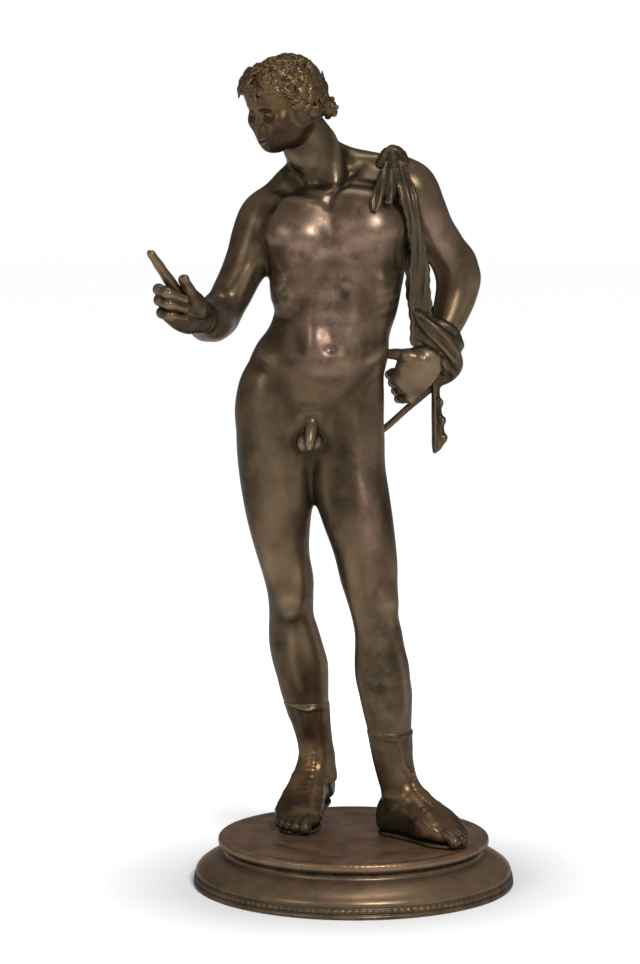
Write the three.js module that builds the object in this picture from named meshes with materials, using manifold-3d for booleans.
// Cast bronze statue of a standing youth with a goatskin, on a turned round base.
// Millimetres, +Z up. The origin is the centre of the base's underside and the figure faces -Y.
import * as THREE from 'three';
import Module from 'manifold-3d';
import { mergeVertices } from 'three/addons/utils/BufferGeometryUtils.js';

const wasm = await Module();
wasm.setup();

// Driving dimensions
const BASE_HEIGHT = 35.5;
const BASE_RADIUS = 119.6;
const DISC_RADIUS = 101;
const BASE_SEGMENTS = 40;
const FOOT_GAP = 0.3;
const FOOT_LENGTH = 84;
const FOOT_WIDTH = 35;
const SOLE_THICKNESS = 3;
const HEAD_HEIGHT = 70;
const FINGER_RADIUS = 3.1;
const SKIN_WIDTH = 17;
const SKIN_THICKNESS = 4.4;
const LOCK_HEIGHT = 2;
const LEAF_HEIGHT = 3.8;
const BERRY_RADIUS = 2.6;

// Places, as x to the viewer's right, y away from the viewer, z up
const GROUND = 34;
const RISE = BASE_HEIGHT + FOOT_GAP - GROUND;
const HEAD_CENTRE = [-53, -21, 577];
const HEAD_TURN = { roll: 4, yaw: -52, nod: 28 };
const RIGHT_WRIST = [-109.6, -78, 424.5];
const LEFT_WRIST = [57, 5, 395];
const RIGHT_HEEL = { x: -22, y: 72, yaw: -18, lift: 11, splay: 2.5 };
const LEFT_HEEL = { x: 20.5, y: 6, yaw: 49, lift: 0, splay: 0 };

// Sizes that the foot and the head are modelled at, before they are scaled to the sizes above
const MODELLED_FOOT_WIDTH = 35;
const MODELLED_HEAD_HEIGHT = 70;
const HEAD_SCALE = HEAD_HEIGHT / MODELLED_HEAD_HEIGHT;

// Small helpers

const radians = THREE.MathUtils.degToRad;
const vector = (list) => new THREE.Vector3(...list);

function smoothMin(a, b, soft) {
  const share = Math.max(soft - Math.abs(a - b), 0) / soft;
  return Math.min(a, b) - (share * share * soft) / 4;
}

// A mound is an ellipsoid of flesh with a centre, half sizes and a turn in degrees.
// Its softness is the width over which it melts into the form around it.
function mound(centre, half, turn = [0, 0, 0], soft = 8) {
  const euler = new THREE.Euler(...turn.map(radians), 'XYZ');
  const inverse = new THREE.Matrix4().makeRotationFromEuler(euler).invert();
  return { centre: vector(centre), half: vector(half), inverse, soft };
}

const probe = new THREE.Vector3();

function moundDistance(shape, point) {
  probe.copy(point).sub(shape.centre).applyMatrix4(shape.inverse);
  const near = probe.divide(shape.half).length();
  const steep = probe.divide(shape.half).length();
  return steep > 0 ? (near * (near - 1)) / steep : -shape.half.x;
}

// Distance from the axis at which a ray leaves the modelled form: the plain section joined
// with its mounds and lowered by its hollows.
function surfaceRadius(origin, ray, plain, mounds, hollows) {
  const reach = 30;
  const point = new THREE.Vector3();
  let radius = plain + reach;
  for (let step = 0; step < 80; step += 1) {
    point.copy(ray).multiplyScalar(radius).add(origin);
    let gap = radius - plain;
    for (const shape of mounds) {
      gap = smoothMin(gap, moundDistance(shape, point), shape.soft);
    }
    for (const shape of hollows) {
      gap = -smoothMin(-gap, moundDistance(shape, point), shape.soft);
    }
    if (gap < 0.01) {
      break;
    }
    radius -= gap * 0.7;
  }
  return radius;
}

// Closed mesh from rings of points, with one point added at each end
function closeRings(rings, start, end) {
  const sides = rings[0].length;
  const points = [start, ...rings.flat(), end];
  const index = [];
  const at = (ring, side) => 1 + ring * sides + (side % sides);
  for (let side = 0; side < sides; side += 1) {
    index.push(0, at(0, side + 1), at(0, side));
    index.push(points.length - 1, at(rings.length - 1, side), at(rings.length - 1, side + 1));
    for (let ring = 0; ring + 1 < rings.length; ring += 1) {
      index.push(at(ring, side), at(ring, side + 1), at(ring + 1, side + 1));
      index.push(at(ring, side), at(ring + 1, side + 1), at(ring + 1, side));
    }
  }
  const geometry = new THREE.BufferGeometry().setFromPoints(points);
  geometry.setIndex(index);
  return geometry;
}

// A limb follows a smooth line through its stations, each [x, y, z, half width, front, back].
// Its front faces the given direction. Its rings stand square to the line, or to a fixed axis.
function limb(stations, {
  sides, rings, front = [0, -1, 0], axis = null, mounds = [], hollows = [], square = 2,
}) {
  const line = new THREE.CatmullRomCurve3(stations.map((s) => new THREE.Vector3(s[0], s[1], s[2])));
  const girth = new THREE.CatmullRomCurve3(stations.map((s) => new THREE.Vector3(s[3], s[4], s[5])));
  const loops = [];
  for (let ring = 0; ring < rings; ring += 1) {
    const along = ring / (rings - 1);
    const centre = line.getPoint(along);
    const tangent = axis ? vector(axis).normalize() : line.getTangent(along);
    const forward = vector(front);
    forward.addScaledVector(tangent, -forward.dot(tangent)).normalize();
    const across = new THREE.Vector3().crossVectors(tangent, forward);
    const half = girth.getPoint(along);
    const loop = [];
    for (let side = 0; side < sides; side += 1) {
      const angle = (side / sides) * 2 * Math.PI;
      const deep = Math.sin(angle) > 0 ? half.y : half.z;
      const ray = across.clone().multiplyScalar(Math.cos(angle)).addScaledVector(forward, Math.sin(angle));
      const wide = Math.abs(Math.cos(angle) / half.x) ** square;
      const plain = (wide + Math.abs(Math.sin(angle) / deep) ** square) ** (-1 / square);
      const radius = surfaceRadius(centre, ray, plain, mounds, hollows);
      loop.push(ray.multiplyScalar(radius).add(centre));
    }
    loops.push(loop);
  }
  const ends = [0, 1].map((along) => {
    const out = line.getTangent(along).multiplyScalar(along ? 1 : -1);
    return line.getPoint(along).addScaledVector(out, girth.getPoint(along).y * 0.4);
  });
  return closeRings(loops, ends[0], ends[1]);
}

// A round cord, finger or lock: a tube through points, each [x, y, z, radius]
function strand(points, sides, rings, flat = 1, front = [0, -1, 0]) {
  const stations = points.map((p) => [p[0], p[1], p[2], p[3], p[3] * flat, p[3] * flat]);
  return limb(stations, { sides, rings, front });
}

function solid(geometry) {
  const plain = geometry.clone();
  plain.deleteAttribute('normal');
  plain.deleteAttribute('uv');
  const merged = mergeVertices(plain, 1e-4);
  const vertProperties = new Float32Array(merged.attributes.position.array);
  const triVerts = new Uint32Array(merged.index.array);
  let volume = 0;
  const [a, b, c] = [new THREE.Vector3(), new THREE.Vector3(), new THREE.Vector3()];
  for (let i = 0; i < triVerts.length; i += 3) {
    a.fromArray(vertProperties, triVerts[i] * 3);
    b.fromArray(vertProperties, triVerts[i + 1] * 3);
    c.fromArray(vertProperties, triVerts[i + 2] * 3);
    volume += a.dot(b.cross(c));
  }
  if (volume < 0) {
    for (let i = 0; i < triVerts.length; i += 3) {
      [triVerts[i + 1], triVerts[i + 2]] = [triVerts[i + 2], triVerts[i + 1]];
    }
  }
  return new wasm.Manifold(new wasm.Mesh({ numProp: 3, vertProperties, triVerts }));
}

// One body from overlapping pieces, with the sealed pockets between crossing folds filled
function join(geometries) {
  const whole = geometries.map(solid).reduce((sum, piece) => sum.add(piece));
  return whole.decompose().reduce((most, body) => (body.volume() > most.volume() ? body : most));
}

function toGeometry(shape) {
  const mesh = shape.getMesh();
  const geometry = new THREE.BufferGeometry();
  geometry.setAttribute('position', new THREE.BufferAttribute(mesh.vertProperties, 3));
  geometry.setIndex(new THREE.BufferAttribute(mesh.triVerts, 1));
  return geometry;
}

// Trunk, from the crotch to the shoulder line

function trunk() {
  const stations = [
    [-31.5, 8, 315, 26, 16, 20],
    [-33, 8, 332, 45, 26, 36],
    [-33, 8, 348, 52, 30, 39],
    [-31.5, 6, 362, 52.5, 32, 37],
    [-29.5, 3, 377, 51.5, 31, 32],
    [-25, 1, 392, 49, 30, 28],
    [-19.2, 0, 408, 45.5, 29, 26],
    [-13.6, 0, 424, 45, 29, 26],
    [-12.8, 0, 440, 47.3, 30, 30],
    [-13.2, 0, 456, 50.5, 32, 34],
    [-15, 1, 472, 53, 34, 37],
    [-15, 2, 488, 53, 32, 38],
    [-11, 4, 502, 50, 26, 34],
    [-6, 6, 514, 47, 20, 27],
    [-2, 7, 525, 43, 14, 19],
    [2, 7, 534, 32, 9, 12],
  ];
  const chest = [
    mound([-42, -20, 479], [24, 17, 17], [0, 6, 0], 9),
    mound([13, -20, 485], [24, 17, 17], [0, 6, 0], 9),
    mound([-18, -21, 507], [30, 6, 5], [0, -4, 0], 14),
  ];
  const belly = [mound([-20, -20, 391], [24, 14, 20], [0, 4, 0], 10)];
  for (const [height, middle] of [[451, -17], [435, -17.5], [418, -18]]) {
    belly.push(mound([middle - 10, -21, height], [10.5, 10.5, 8.5], [0, 0, 0], 5));
    belly.push(mound([middle + 10, -21, height + 1], [10.5, 10.5, 8.5], [0, 0, 0], 5));
  }
  const flanks = [
    mound([-55, 2, 392.5], [16, 22, 13], [0, 24, 0], 9),
    mound([7, 2, 393], [15, 22, 13], [0, -18, 0], 9),
    mound([-50, -14, 440], [10, 13, 14], [0, 0, 0], 10),
    mound([18, -14, 444], [11, 13, 14], [0, 0, 0], 10),
  ];
  const back = [
    mound([-52, 26, 352], [27, 23, 27], [0, 0, 0], 9),
    mound([-10, 25, 347], [26, 22, 27], [0, 0, 0], 9),
    mound([-43, 26, 484], [22, 13, 24], [0, 12, 0], 9),
    mound([16, 26, 490], [22, 13, 24], [0, -12, 0], 9),
  ];
  const hollows = [
    mound([-17, -45, 470], [3.5, 12, 34], [0, 0, 0], 8),
    mound([-18, -33, 402], [2.6, 5, 3], [0, 0, 0], 3),
    mound([-16, 46, 436], [4, 14, 50], [0, 2, 0], 12),
    mound([-31, 62, 340], [2.5, 22, 22], [0, 0, 0], 5),
    mound([-22, -34, 511], [7, 9, 6], [0, 0, 0], 6),
  ];
  const mounds = [...chest, ...belly, ...flanks, ...back];
  return limb(stations, { sides: 22, rings: 25, axis: [0, 0, 1], mounds, hollows, square: 2.15 });
}

function shoulders() {
  const yoke = strand([[-60, 4, 498, 13.4], [-46, 5, 514, 14.5], [-30, 6, 521, 15], [-10, 6, 526, 14],
    [14, 6, 527, 13.5], [41, 6, 515, 15]], 10, 8);
  const neck = limb([
    [-14, 8, 505, 18.5, 18, 18],
    [-19.3, 5, 520, 18.8, 18, 18],
    [-26.4, 1, 536, 18.3, 18, 19],
    [-34.2, -5, 550, 18, 18, 20],
    [-42, -11, 563, 17, 17, 19],
  ], { sides: 12, rings: 6, mounds: [mound([-38, -8, 539], [10.5, 10, 11])] });
  const slopes = strand([[-54, 6, 503, 11], [-44, 6, 518.4, 11.4], [-30, 5, 534, 10], [-14, 8, 538, 9],
    [4, 8, 530, 9], [18, 7, 522, 10]], 7, 7);
  return [yoke, neck, slopes];
}

function loins() {
  const middle = -31;
  return [
    strand([[middle, -17, 345, 5.5], [middle - 0.5, -25, 340, 4.8], [middle - 1.5, -31, 332, 4],
      [middle - 2, -32, 326, 2.4]], 6, 5),
    strand([[middle - 4, -16, 339, 5], [middle - 5.5, -23, 331, 5.6],
      [middle - 5.5, -24.5, 325, 3.6]], 6, 4),
    strand([[middle + 2, -16, 339, 5], [middle + 2.5, -23, 331, 5.4],
      [middle + 2, -24.5, 325.5, 3.6]], 6, 4),
  ];
}

// Legs

const KNEECAP = [10.5, 6, 12];

function rightLeg() {
  const stations = [
    [-62, 4, 390, 10, 12, 14],
    [-61, 5, 376, 20, 22, 26],
    [-59.5, 7, 358, 26.8, 28, 34],
    [-57.5, 8, 334, 29.5, 30.5, 37],
    [-56.5, 8, 312, 29.3, 29, 33],
    [-56, 8, 290, 26.9, 28, 30],
    [-55.3, 8, 268, 23.3, 26, 27],
    [-52.8, 9, 246, 19.9, 23, 23],
    [-48.3, 10, 226, 18.5, 20, 20],
    [-46.8, 11, 212, 17, 18, 18],
    [-46.3, 14, 198, 16.7, 16, 18],
    [-44.8, 18, 186, 18.6, 16, 20],
    [-42.8, 22, 173, 20.2, 16.5, 22],
    [-40, 27, 160, 20.8, 16, 22],
    [-38, 32, 147, 19.5, 15, 20],
    [-36.5, 37, 134, 18, 13.5, 17],
    [-34.3, 42, 121, 16.1, 12, 14.5],
    [-31.2, 46, 107, 14.3, 11, 13],
    [-28.8, 50, 94, 13.2, 11, 13],
    [-27, 52, 82, 13.4, 13, 14],
    [-26, 53, 66, 12, 13, 13],
  ];
  const mounds = [mound([-46.5, -3, 212], KNEECAP, [-8, 0, 0], 6)];
  return limb(stations, { sides: 12, rings: 22, axis: [0, -0.12, 1], front: [-0.12, -1, 0], mounds });
}

function leftLeg() {
  const stations = [
    [-1.5, 4, 388, 10, 12, 14],
    [-3.5, 5, 374, 19, 22, 25],
    [-5.2, 6, 356, 25.5, 27.5, 32],
    [-5, 5, 334, 27, 28.5, 34],
    [-4.8, 3, 311, 28.2, 28, 31],
    [-1.5, 0, 289, 28, 28, 28.5],
    [3.2, -4, 267, 25.5, 27, 26],
    [8, -7, 246, 22.7, 24, 23],
    [11.2, -10, 226, 20.8, 21, 21.3],
    [13.8, -12, 211, 18.9, 18.5, 18.6],
    [16.6, -13, 198, 17.6, 16.5, 18],
    [19, -13, 187, 17.7, 16.5, 18.4],
    [20.8, -12, 176, 18.6, 17, 19.6],
    [22.3, -11, 165, 19.9, 18, 20.6],
    [23.5, -10, 153, 20.4, 18, 21],
    [24.9, -9, 142, 20, 17.3, 20.6],
    [25.8, -8.5, 130, 19, 16.2, 19.4],
    [26.9, -8, 117, 17.2, 15, 17.4],
    [28, -8, 104, 16, 14.3, 16],
    [29.6, -8, 92, 15, 14, 15.4],
    [31.8, -8, 80, 14, 14.5, 15],
    [33.5, -8, 66, 12.5, 15, 14],
  ];
  const mounds = [mound([22.5, -22, 211], KNEECAP, [0, 0, 44], 6)];
  return limb(stations, { sides: 12, rings: 23, axis: [0, 0, 1], front: [0.74, -0.67, 0], mounds });
}

// A sandalled foot: the foot with its five toes on a flat sole. The side is 1 or -1 for that of the big
// toe. A lifted heel turns about the ball of the foot.
function foot({ x, y, yaw, lift, splay }, bigToeSide) {
  const turn = radians(yaw);
  const hinge = FOOT_LENGTH * 0.68;
  const wide = FOOT_WIDTH / MODELLED_FOOT_WIDTH;
  const ahead = [Math.sin(turn), -Math.cos(turn), 0];
  const place = (along, aside, height) => [
    x + ahead[0] * along - ahead[1] * aside * bigToeSide * wide,
    y + ahead[1] * along + ahead[0] * aside * bigToeSide * wide,
    GROUND + SOLE_THICKNESS + height + lift * Math.max(0, 1 - along / hinge),
  ];
  const front = [0, 0, 1];
  const sections = [[1, 0, 10.5, 7, 9.5, 11], [5, 0, 12.5, 11, 14.5, 13],
    [14, -splay * 0.4, 14.5, 13, 22, 15], [25, -splay * 0.8, 15.5, 13.6, 26, 16],
    [34, -splay * 0.8, 14.5, 14.6, 22.6, 15], [38, -splay * 0.8, 14, 15.2, 20.2, 14.5],
    [47, -splay * 0.6, 11.5, 17.4, 16, 12],
    [57, -0.6 - splay * 0.3, 8.8, 18.6, 13.4, 9.2], [66, 0, 6.6, 17, 8, 7], [71, 0, 5, 15, 3, 5.4]];
  const stations = sections.map(([along, aside, height, half, up, down]) => (
    [...place(along, aside, height), half * wide, up, down]));
  const body = limb(stations, { sides: 12, rings: 10, front, axis: ahead, square: 2.5 });
  const pieces = [body];
  const toes = [[10.8, 84, 4.8], [3.6, 83, 3.6], [-2.6, 80, 3.4], [-8.2, 76.5, 3.2], [-13, 72, 3]];
  for (const [aside, tip, radius] of toes) {
    pieces.push(strand([
      [...place(tip - 20, aside * 0.93, 5.6), radius],
      [...place(tip - 8, aside, 4.4), radius],
      [...place(tip - 1.2, aside, 2.4), radius * 0.75],
    ], 5, 4));
  }
  const outline = [[0.5, 0, 7], [8, 0, 11.4], [26, -splay, 13], [40, -splay, 15.6], [54, -0.4, 18.6],
    [64, 0.4, 18.6], [75, 1.8, 16], [83, 5, 10]];
  const depth = SOLE_THICKNESS / 2;
  pieces.push(limb(
    outline.map(([along, aside, half]) => [...place(along, aside, -depth), half * wide, depth, depth]),
    { sides: 8, rings: 8, front, axis: ahead, square: 6 },
  ));
  return pieces;
}

// Boot cuffs: a rolled band round each shin
function cuffs() {
  const bands = [
    { at: [-35, 40, 126.5], wide: 17.4, deep: 17.4, roll: 2.4 },
    { at: [27.4, -8, 113.5], wide: 18, deep: 17.6, roll: 2.4 },
  ];
  return bands.map(({ at, wide, deep, roll }) => new THREE.TorusGeometry(1, roll / wide, 5, 14)
    .scale(wide - roll, deep - roll, wide)
    .translate(...at));
}

// Arms and hands

function rightArm() {
  const upper = limb([
    [-57, 3, 504, 13, 14, 15],
    [-64.5, 2, 494, 19, 19, 20],
    [-69.5, 1, 480, 20, 19, 20],
    [-76.3, -1, 465, 17, 17.5, 18],
    [-83.6, -3, 450, 15.3, 16.5, 16.5],
    [-91.2, -7, 435, 14.9, 16, 16],
    [-99, -12, 423, 13.6, 15, 14],
  ], { sides: 11, rings: 7 });
  const fore = limb([
    [-98, -4, 422, 13, 13, 13],
    [-100, -16, 421, 15.2, 15.6, 15.6],
    [-102.2, -30, 420, 15.8, 15.6, 16],
    [-104.5, -46, 419.8, 15.2, 14.6, 15.4],
    [-107.2, -62, 421.4, 13.2, 12.6, 14],
    [...RIGHT_WRIST, 10, 10.5, 11],
  ], { sides: 11, rings: 7, front: [0, 0, 1] });
  return [upper, fore];
}

function rightHand() {
  const palm = limb([
    [-108.5, -74, 425, 10.5, 8, 8],
    [-112, -82.5, 426, 12.4, 7.5, 7.5],
    [-117, -89, 428, 15, 7.6, 7.3],
    [-123, -95.5, 431.5, 15.6, 7.3, 7],
    [-129.5, -101.5, 435, 13.6, 5.6, 5.6],
  ], { sides: 10, rings: 6, front: [0.72, -0.69, 0.1] });
  const fingers = [
    [[-121, -96, 437], [-131.4, -104.5, 453.5], [-138.6, -109, 464.5], [-144, -112, 472.5]],
    [[-131, -101, 441], [-138.6, -114, 446], [-130, -121.5, 443], [-119.5, -113.5, 438]],
    [[-132, -99, 433.5], [-138, -112, 437], [-130, -119.5, 434.5], [-119.5, -112, 431.5]],
    [[-130.5, -96, 425.5], [-136.6, -107, 427], [-129, -114.5, 425.5], [-120.5, -107.5, 424]],
  ];
  const taper = [1.5, 1.18, 1, 0.76];
  const digits = fingers.map((joints) => strand(
    joints.map((joint, i) => [...joint, FINGER_RADIUS * taper[i]]), 6, 5));
  const thumb = strand([[-111, -88, 432, 6.5], [-114.6, -96.5, 440.5, 5.4], [-118, -103, 447.5, 4.1],
    [-121.4, -107, 455, 2.9]], 6, 5);
  return [palm, ...digits, thumb];
}

function leftArm() {
  const upper = limb([
    [33, 5, 526, 12.5, 13, 14],
    [42.4, 7, 515.2, 17.9, 18, 19],
    [48.7, 10, 499.5, 18.6, 18.5, 19.5],
    [56.5, 15, 484.5, 17, 17.5, 18],
    [65.9, 19, 471, 15.9, 16, 16.5],
    [73, 23, 460, 15.5, 15.5, 15.5],
    [78, 25.5, 449, 14.5, 14, 14.5],
  ], { sides: 11, rings: 8 });
  const fore = limb([
    [76, 25, 458, 14, 14, 13.5],
    [77, 24, 447, 15, 15, 14.5],
    [74.5, 21, 433, 14.6, 14.5, 14],
    [70.5, 16.5, 420, 13.2, 13, 12.5],
    [65, 11, 408, 11, 10.5, 10.5],
    [...LEFT_WRIST, 9.2, 7.6, 7.6],
  ], { sides: 11, rings: 8 });
  return [upper, fore];
}

function leftHand() {
  const palm = limb([
    [60, 6, 398, 9.6, 7.6, 7.6],
    [53, 3, 387.5, 12.6, 6.8, 6.8],
    [45, 3, 378, 13.8, 6.2, 6.2],
    [37.5, 6, 369, 12.6, 5.4, 5.4],
  ], { sides: 10, rings: 5 });
  const digits = [];
  for (let finger = 0; finger < 4; finger += 1) {
    const joints = [
      [33 + 2.4 * finger, 7, 378 - 6.2 * finger],
      [28 + 2.4 * finger, 14, 377.5 - 6.2 * finger],
      [26 + 2.3 * finger, 22, 376 - 6 * finger],
      [27 + 2 * finger, 29, 374 - 5.6 * finger],
    ];
    const taper = [1.3, 1.14, 1, 0.8];
    digits.push(strand(joints.map((p, i) => [...p, FINGER_RADIUS * taper[i]]), 6, 5));
  }
  const thumb = strand([[47, 1, 388, 7], [39, 0.5, 391.5, 5.6], [30, 3, 392.6, 3.9],
    [18, 6, 392.8, 3.3]], 6, 5);
  return [palm, ...digits, thumb];
}

// Head, modelled upright in its own frame, with the face toward -Y, and then turned

const headTurn = new THREE.Matrix4().makeTranslation(...HEAD_CENTRE)
  .multiply(new THREE.Matrix4().makeRotationY(radians(HEAD_TURN.roll)))
  .multiply(new THREE.Matrix4().makeRotationZ(radians(HEAD_TURN.yaw)))
  .multiply(new THREE.Matrix4().makeRotationX(radians(HEAD_TURN.nod)))
  .multiply(new THREE.Matrix4().makeScale(HEAD_SCALE, HEAD_SCALE, HEAD_SCALE));

function pair(x, y, z, half, turn, soft) {
  const mirrored = [turn[0], -turn[1], -turn[2]];
  return [mound([x, y, z], half, turn, soft), mound([-x, y, z], half, mirrored, soft)];
}

const SCALP = { centre: [0, 7, 5.6], half: [26.3, 27.4, 25] };

// A place over the scalp: tilt from the crown and turn round it in degrees, and a height above
function overScalp(tilt, turn, height) {
  const [a, b] = [radians(tilt), radians(turn)];
  const { centre, half } = SCALP;
  return [
    centre[0] + (half[0] + height) * Math.sin(a) * Math.sin(b),
    centre[1] - (half[1] + height) * Math.sin(a) * Math.cos(b),
    centre[2] + (half[2] + height) * Math.cos(a),
  ];
}

// Two bunches of ivy berries, low behind the ears
function berries() {
  const bunches = [];
  for (const side of [-1, 1]) {
    for (const [tilt, turn, height] of [[124, 134, 7], [131, 128, 10], [133, 139, 11]]) {
      const berry = new THREE.IcosahedronGeometry(BERRY_RADIUS, 0);
      bunches.push(berry.translate(...overScalp(tilt, side * turn, height)).applyMatrix4(headTurn));
    }
  }
  return bunches;
}

function head() {
  const features = [
    mound([0, -7, -13], [18.6, 18.6, 17.6], [-6, 0, 0], 10),
    mound([0, -16.8, -24.2], [8.4, 7.4, 6.4], [0, 0, 0], 10),
    mound([0, -9.4, 13], [19.5, 14.6, 16], [0, 0, 0], 8),
    ...pair(12.2, -5, -19, [6, 9.6, 6.4], [24, 0, 14], 9),
    ...pair(12.2, -14.6, -7.6, [6.6, 7, 5.4], [0, 0, 26], 9),
    ...pair(7.6, -18.6, 5, [7.6, 3.4, 2], [0, 8, 8], 4),
    mound([0, -20.6, -3], [3, 5, 10], [-14, 0, 0], 3),
    mound([0, -24.6, -10], [3.4, 4.6, 3.6], [0, 0, 0], 3),
    ...pair(3.3, -23.2, -11, [2.4, 3.6, 2.2], [0, 0, 0], 2),
    mound([0, -17.6, -18], [9, 6.4, 5.6], [0, 0, 0], 6),
    mound([0, -22.6, -16.8], [6.2, 2.2, 1.5], [0, 0, 0], 1.5),
    mound([0, -22.2, -19.8], [5.2, 2.4, 1.8], [0, 0, 0], 1.5),
  ];
  const hollows = [
    ...pair(8.3, -23.6, -0.6, [6, 5.4, 3.6], [0, 0, 14], 4),
    mound([0, -27, -18.3], [7, 3.6, 0.7], [0, 0, 0], 1.2),
  ];
  const eyes = pair(8.2, -15.4, -1.2, [5, 4.6, 4], [0, 0, 0], 2);
  const masses = [
    mound(SCALP.centre, SCALP.half, [0, 0, 0], 3),
    ...pair(19.5, 5, -7, [7, 12, 12.5], [0, 0, 0], 8),
    ...pair(20, -8, -7, [3.4, 5, 12], [14, 0, 0], 4),
    mound([0, 22.6, -6], [18.5, 11, 11.5], [0, 0, 0], 8),
    mound([0, -8, 19.4], [19.4, 12, 8.6], [0, 0, 0], 6),
    ...pair(15.5, 25.6, -0.5, [5.5, 6, 7], [0, 0, 0], 5),
    ...pair(19, 24.6, -15.5, [6.4, 6.6, 8], [0, 0, 0], 5),
  ];
  const middle = new THREE.Vector3(0, -2, -2);
  const rings = 23;
  const sides = 28;
  const wreathRing = 9;
  const surface = (ray, ring, side) => {
    const face = surfaceRadius(middle, ray, 20, features, hollows);
    const skin = Math.max(face, surfaceRadius(middle, ray, 8, eyes, []));
    const hair = surfaceRadius(middle, ray, 8, masses, []);
    if (hair < skin) {
      return skin;
    }
    // Ivy leaves stand out in a band, and every other point of the rest is the crest of a lock
    const leaf = ring === wreathRing && side % 3 !== 1;
    const lock = (ring + side) % 2 === 0 ? LOCK_HEIGHT : 0;
    return hair + (leaf ? LEAF_HEIGHT : lock);
  };
  const loops = [];
  for (let ring = 1; ring < rings; ring += 1) {
    const tilt = (ring / rings) * Math.PI;
    const loop = [];
    for (let side = 0; side < sides; side += 1) {
      const turn = (side / sides) * 2 * Math.PI;
      const angle = turn - 0.32 * Math.sin(turn);
      const ray = new THREE.Vector3(
        Math.sin(tilt) * Math.sin(angle),
        -Math.sin(tilt) * Math.cos(angle),
        Math.cos(tilt),
      );
      const radius = surface(ray, ring, side);
      loop.push(ray.multiplyScalar(radius).add(middle));
    }
    loops.push(loop);
  }
  const poles = [1, -1].map((up) => {
    const ray = new THREE.Vector3(0, 0, up);
    return ray.clone().multiplyScalar(surface(ray, 0, 1)).add(middle);
  });
  return closeRings(loops, poles[0], poles[1]).applyMatrix4(headTurn);
}

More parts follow.
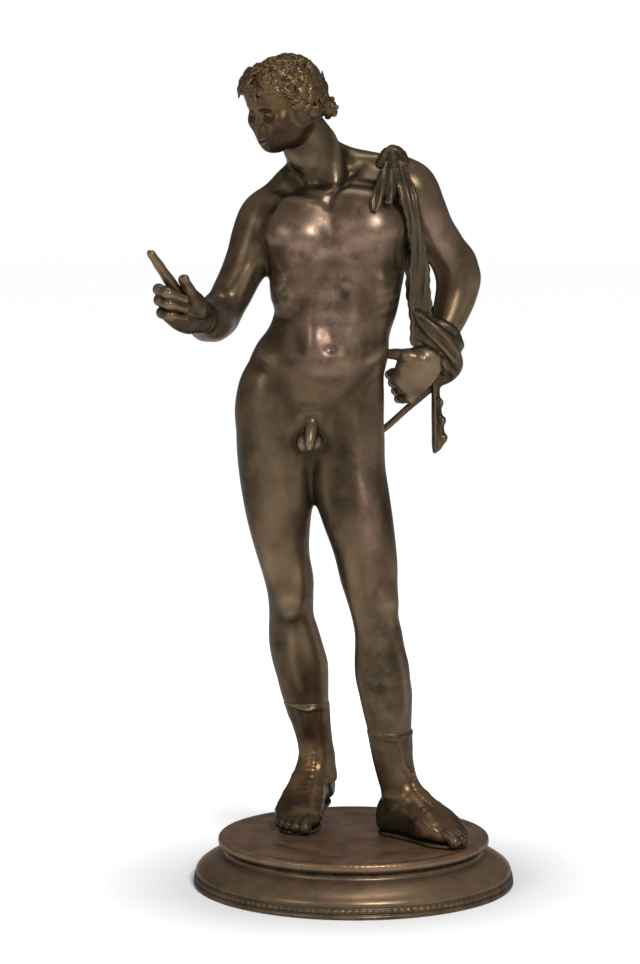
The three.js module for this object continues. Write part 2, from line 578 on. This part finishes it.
// Goatskin: knotted on the left shoulder, hanging to the forearm and wrapped round the wrist
function goatskin() {
  const flat = SKIN_THICKNESS / SKIN_WIDTH;
  const half = SKIN_WIDTH / 2;
  const band = limb([
    [27.5, -8, 534, 7, 3, 3],
    [33, -18, 522, 8, half * flat * 1.4, half * flat],
    [38, -24, 508, half, half * flat * 1.4, half * flat],
    [42, -23, 490, half, half * flat, half * flat],
    [44.5, -19, 468, half, half * flat, half * flat],
    [45.5, -12, 446, half, half * flat, half * flat],
    [46, -6, 428, half, half * flat, half * flat],
    [48, -5, 414, half, half * flat * 1.2, half * flat * 1.2],
    [49.5, -4, 402, half * 0.95, 3, 3],
  ], { sides: 8, rings: 11 });
  const backBand = limb([
    [30, 2, 534, 7, 3, 3],
    [36, 22, 524, 8, 3, 3],
    [41, 31, 508, half, half * flat, half * flat],
    [44, 33, 484, half, half * flat, half * flat],
    [46, 31, 458, half, half * flat, half * flat],
    [48, 28, 434, half, half * flat, half * flat],
    [56, 22, 414, half, 3, 3],
  ], { sides: 6, rings: 8, front: [0, 1, 0] });
  const knot = [
    strand([[19, -6, 532, 4], [25, -8, 539.5, 5.4], [32, -6, 539.5, 5.2], [36.5, -4, 533, 4]], 6, 5),
    strand([[28, -14, 530, 4.6], [27.5, -8, 539.5, 5.2], [28, 0, 540.5, 5], [29, 8, 534, 4]], 6, 5),
  ];
  const folds = [
    strand([[45, -6, 424, 5], [60, -9, 411, 5.5], [74, -2, 401.5, 5.5], [75, 14, 399, 5], [64, 24, 405, 5],
      [50, 18, 412, 4]], 6, 8),
    strand([[46, -4, 409, 5], [58, -7, 403.5, 5.5], [70, -4, 395.5, 6], [74, 4, 385.5, 6.4], [69.5, 9, 377, 5.5],
      [60, 10, 372, 4.5]], 6, 7),
    strand([[52, 2, 417, 6], [66, -3, 411, 7], [73, 8, 404, 6], [66, 20, 402, 5]], 6, 5),
  ];
  const tails = [
    strand([[24, -14, 530, 3.6], [20, -28, 518, 3.4], [16, -33, 508, 3.2], [14.5, -35, 500, 2]], 6, 5, 0.8),
    strand([[29, -18, 524, 3.2], [27, -28, 514, 3], [25, -32, 504, 2]], 6, 4, 0.8),
    strand([[61, 8, 388, 5], [60.5, 9, 374, 3.2], [60.5, 10, 362, 3.2], [61.3, 10, 348, 4],
      [62.4, 10, 334, 5.2], [62, 10, 326, 4.8], [60, 10, 320, 1.6]], 6, 8, 0.7),
    strand([[61, 12, 371.5, 3.4], [51, 12, 362, 2.8], [38, 13, 350.6, 2.5], [24, 13.5, 338, 2.5],
      [10, 14, 327.5, 2.5]], 6, 6),
  ];
  return [band, backBand, ...knot, ...folds, ...tails];
}

// The turned base: bottom fillet, ornament band, torus, hollow moulding and disc
function base() {
  const outer = BASE_RADIUS;
  const disc = DISC_RADIUS;
  const top = BASE_HEIGHT;
  const profile = [[0, 0], [outer - 0.5, 0], [outer, 2.6], [outer - 1, 3.2], [outer - 1, 6.6],
    [outer - 2.2, 7.4], [outer - 1.8, 10], [outer - 4.4, 13], [outer - 9.2, 16.9], [outer - 14.8, 20],
    [outer - 20.4, 22.6], [disc - 4.6, 25], [disc - 4.4, 27.4], [disc - 0.6, 30], [disc, 32],
    [disc - 0.2, 34.4], [disc - 1.3, top], [0, top]];
  return new THREE.LatheGeometry(profile.map(([r, z]) => new THREE.Vector2(r, z)), BASE_SEGMENTS)
    .rotateX(Math.PI / 2);
}

const figurePieces = [
  trunk(), ...shoulders(), ...loins(), rightLeg(), leftLeg(),
  ...foot(RIGHT_HEEL, 1), ...foot(LEFT_HEEL, -1), ...cuffs(),
  ...rightArm(), ...rightHand(), ...leftArm(), ...leftHand(), head(), ...berries(), ...goatskin(),
];

// Brown patina on the figure, and a redder one on the base
const brownPatina = new THREE.MeshStandardMaterial({ color: '#4d3f30', roughness: 0.42, metalness: 1 });
const redPatina = new THREE.MeshStandardMaterial({ color: '#5a4334', roughness: 0.38, metalness: 1 });

const statue = new THREE.Group();
const figure = new THREE.Mesh(toGeometry(join(figurePieces)), brownPatina);
figure.name = 'figure';
figure.position.z = RISE;
statue.add(figure);
const plinth = new THREE.Mesh(toGeometry(join([base()])), redPatina);
plinth.name = 'base';
statue.add(plinth);

export default statue;
